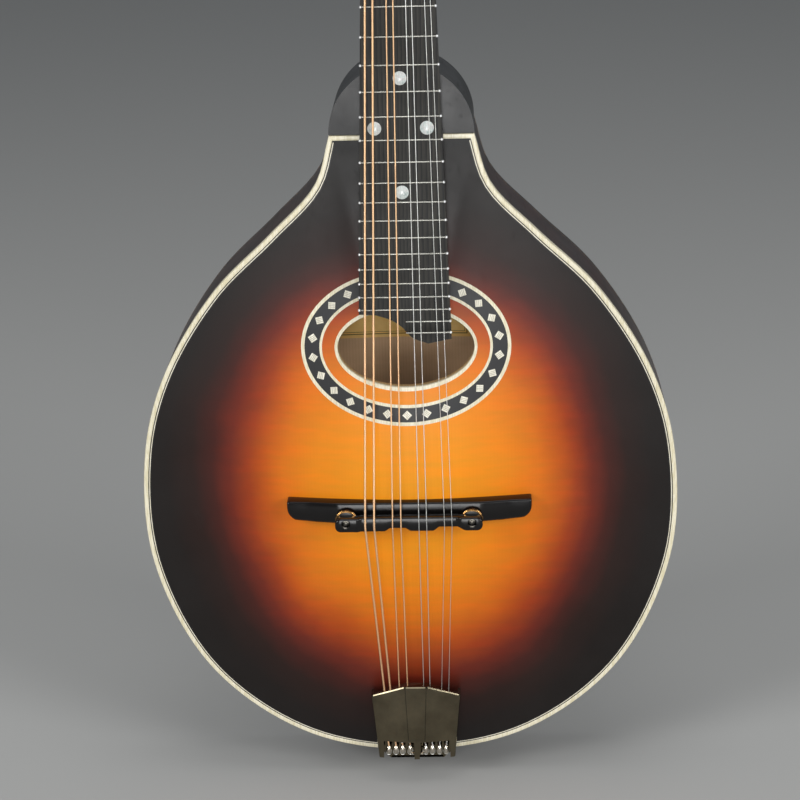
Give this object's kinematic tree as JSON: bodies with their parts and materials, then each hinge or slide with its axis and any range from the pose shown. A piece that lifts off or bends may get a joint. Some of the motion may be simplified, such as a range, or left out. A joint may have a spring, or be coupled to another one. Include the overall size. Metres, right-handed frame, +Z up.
{
  "type": "mandolin",
  "caption": "A-style mandolin with a carved sunburst top, oval soundhole, geared tuners, adjustable bridge and cast tailpiece.",
  "frame": {"origin": "centre of the end pin's outer face, at the tail", "axes": "+Z up the neck, the soundboard faces -Y, the bass side is -X"},
  "size_m": [0.2536, 0.0838, 0.6305],
  "materials": {
    "sunburst_top": "satin sunburst lacquer over spruce",
    "dark_maple": "satin dark brown stain and lacquer over maple",
    "black_maple": "satin black lacquer over maple",
    "ebony": "oiled ebony",
    "spruce_inside": "bare wood",
    "ivoroid": "satin cream celluloid",
    "rosette": "satin black inlay",
    "nickel": "polished nickel",
    "dark_nickel": "polished dark nickel",
    "steel": "bright drawn steel",
    "bronze_wound": "phosphor bronze winding",
    "brass": "polished brass"
  },
  "bodies": {
    "root": {"soundboard": "sunburst_top", "back_plate": "dark_maple", "top_binding": "ivoroid", "soundhole_binding": "ivoroid", "rosette_ring": "rosette", "head_block": "spruce_inside", "tail_block": "spruce_inside", "cross_brace": "spruce_inside", "rib_bass": "dark_maple", "rib_treble": "dark_maple", "lining_front_bass": "spruce_inside", "lining_front_treble": "spruce_inside", "lining_back_bass": "spruce_inside", "lining_back_treble": "spruce_inside", "neck": "black_maple", "heel_cap": "black_maple", "fingerboard": "ebony", "nut": "ivoroid", "truss_rod": "steel", "head_veneer": "ebony", "truss_cover": "ebony", "tuner_plate_bass": "nickel", "tuner_plate_treble": "nickel", "bridge_base": "ebony", "bridge_post_bass": "brass", "bridge_post_treble": "brass", "tailpiece": "dark_nickel", "end_pin": "ebony", "tailpiece_screw_1": "nickel", "tailpiece_screw_2": "nickel", "tailpiece_screw_3": "nickel", "string_g_1": "bronze_wound", "string_g_2": "bronze_wound", "string_d_1": "bronze_wound", "string_d_2": "bronze_wound", "string_a_1": "steel", "string_a_2": "steel", "string_e_1": "steel", "string_e_2": "steel"},
    "saddle": {"bridge_saddle": "ebony"},
    "thumbwheel_bass": {"thumbwheel_bass": "brass"},
    "thumbwheel_treble": {"thumbwheel_treble": "brass"},
    "truss_nut": {"truss_nut": "brass"},
    "tuner_post_bass_1": {"tuner_post_bass_1": "nickel"},
    "tuner_worm_bass_1": {"tuner_worm_bass_1": "nickel"},
    "tuner_post_bass_2": {"tuner_post_bass_2": "nickel"},
    "tuner_worm_bass_2": {"tuner_worm_bass_2": "nickel"},
    "tuner_post_bass_3": {"tuner_post_bass_3": "nickel"},
    "tuner_worm_bass_3": {"tuner_worm_bass_3": "nickel"},
    "tuner_post_bass_4": {"tuner_post_bass_4": "nickel"},
    "tuner_worm_bass_4": {"tuner_worm_bass_4": "nickel"},
    "tuner_post_treble_1": {"tuner_post_treble_1": "nickel"},
    "tuner_worm_treble_1": {"tuner_worm_treble_1": "nickel"},
    "tuner_post_treble_2": {"tuner_post_treble_2": "nickel"},
    "tuner_worm_treble_2": {"tuner_worm_treble_2": "nickel"},
    "tuner_post_treble_3": {"tuner_post_treble_3": "nickel"},
    "tuner_worm_treble_3": {"tuner_worm_treble_3": "nickel"},
    "tuner_post_treble_4": {"tuner_post_treble_4": "nickel"},
    "tuner_worm_treble_4": {"tuner_worm_treble_4": "nickel"}
  },
  "joints": [
    {"name": "saddle_height", "type": "slide", "parent": "root", "child": "saddle", "axis": [0, 1, 0], "range_m": [0, 0.0014]},
    {"name": "thumbwheel_bass_turn", "type": "hinge", "parent": "saddle", "child": "thumbwheel_bass", "pos_m": [-0.0294, -0.0417, 0.1414], "axis": [0, 1, 0], "range_deg": [0, 720]},
    {"name": "thumbwheel_treble_turn", "type": "hinge", "parent": "saddle", "child": "thumbwheel_treble", "pos_m": [0.0294, -0.0417, 0.1414], "axis": [0, 1, 0], "range_deg": [0, 720]},
    {"name": "truss_nut_turn", "type": "hinge", "parent": "root", "child": "truss_nut", "pos_m": [0, -0.0066, 0.5002], "axis": [0, 0, 1], "range_deg": [-180, 180]},
    {"name": "tuner_post_bass_1_turn", "type": "hinge", "parent": "root", "child": "tuner_post_bass_1", "pos_m": [-0.02, -0.00438, 0.52884], "axis": [0, -0.9703, 0.2419], "continuous": true},
    {"name": "tuner_worm_bass_1_turn", "type": "hinge", "parent": "root", "child": "tuner_worm_bass_1", "pos_m": [-0.02, 0.01548, 0.53162], "axis": [1, 0, 0], "continuous": true},
    {"name": "tuner_post_bass_2_turn", "type": "hinge", "parent": "root", "child": "tuner_post_bass_2", "pos_m": [-0.02, 0.00118, 0.55115], "axis": [0, -0.9703, 0.2419], "continuous": true},
    {"name": "tuner_worm_bass_2_turn", "type": "hinge", "parent": "root", "child": "tuner_worm_bass_2", "pos_m": [-0.02, 0.02105, 0.55393], "axis": [1, 0, 0], "continuous": true},
    {"name": "tuner_post_bass_3_turn", "type": "hinge", "parent": "root", "child": "tuner_post_bass_3", "pos_m": [-0.02, 0.00675, 0.57347], "axis": [0, -0.9703, 0.2419], "continuous": true},
    {"name": "tuner_worm_bass_3_turn", "type": "hinge", "parent": "root", "child": "tuner_worm_bass_3", "pos_m": [-0.02, 0.02661, 0.57625], "axis": [1, 0, 0], "continuous": true},
    {"name": "tuner_post_bass_4_turn", "type": "hinge", "parent": "root", "child": "tuner_post_bass_4", "pos_m": [-0.02, 0.01231, 0.59579], "axis": [0, -0.9703, 0.2419], "continuous": true},
    {"name": "tuner_worm_bass_4_turn", "type": "hinge", "parent": "root", "child": "tuner_worm_bass_4", "pos_m": [-0.02, 0.03218, 0.59857], "axis": [1, 0, 0], "continuous": true},
    {"name": "tuner_post_treble_1_turn", "type": "hinge", "parent": "root", "child": "tuner_post_treble_1", "pos_m": [0.02, -0.00438, 0.52884], "axis": [0, -0.9703, 0.2419], "continuous": true},
    {"name": "tuner_worm_treble_1_turn", "type": "hinge", "parent": "root", "child": "tuner_worm_treble_1", "pos_m": [0.02, 0.01548, 0.53162], "axis": [1, 0, 0], "continuous": true},
    {"name": "tuner_post_treble_2_turn", "type": "hinge", "parent": "root", "child": "tuner_post_treble_2", "pos_m": [0.02, 0.00118, 0.55115], "axis": [0, -0.9703, 0.2419], "continuous": true},
    {"name": "tuner_worm_treble_2_turn", "type": "hinge", "parent": "root", "child": "tuner_worm_treble_2", "pos_m": [0.02, 0.02105, 0.55393], "axis": [1, 0, 0], "continuous": true},
    {"name": "tuner_post_treble_3_turn", "type": "hinge", "parent": "root", "child": "tuner_post_treble_3", "pos_m": [0.02, 0.00675, 0.57347], "axis": [0, -0.9703, 0.2419], "continuous": true},
    {"name": "tuner_worm_treble_3_turn", "type": "hinge", "parent": "root", "child": "tuner_worm_treble_3", "pos_m": [0.02, 0.02661, 0.57625], "axis": [1, 0, 0], "continuous": true},
    {"name": "tuner_post_treble_4_turn", "type": "hinge", "parent": "root", "child": "tuner_post_treble_4", "pos_m": [0.02, 0.01231, 0.59579], "axis": [0, -0.9703, 0.2419], "continuous": true},
    {"name": "tuner_worm_treble_4_turn", "type": "hinge", "parent": "root", "child": "tuner_worm_treble_4", "pos_m": [0.02, 0.03218, 0.59857], "axis": [1, 0, 0], "continuous": true}
  ],
  "couplings": [
    {"joint": "thumbwheel_bass_turn", "follows": "saddle_height", "rad_per_m": 8976},
    {"joint": "thumbwheel_treble_turn", "follows": "saddle_height", "rad_per_m": 8976},
    {"joint": "tuner_worm_bass_1_turn", "follows": "tuner_post_bass_1_turn", "ratio": 15},
    {"joint": "tuner_worm_bass_2_turn", "follows": "tuner_post_bass_2_turn", "ratio": 15},
    {"joint": "tuner_worm_bass_3_turn", "follows": "tuner_post_bass_3_turn", "ratio": 15},
    {"joint": "tuner_worm_bass_4_turn", "follows": "tuner_post_bass_4_turn", "ratio": 15},
    {"joint": "tuner_worm_treble_1_turn", "follows": "tuner_post_treble_1_turn", "ratio": 15},
    {"joint": "tuner_worm_treble_2_turn", "follows": "tuner_post_treble_2_turn", "ratio": 15},
    {"joint": "tuner_worm_treble_3_turn", "follows": "tuner_post_treble_3_turn", "ratio": 15},
    {"joint": "tuner_worm_treble_4_turn", "follows": "tuner_post_treble_4_turn", "ratio": 15}
  ]
}
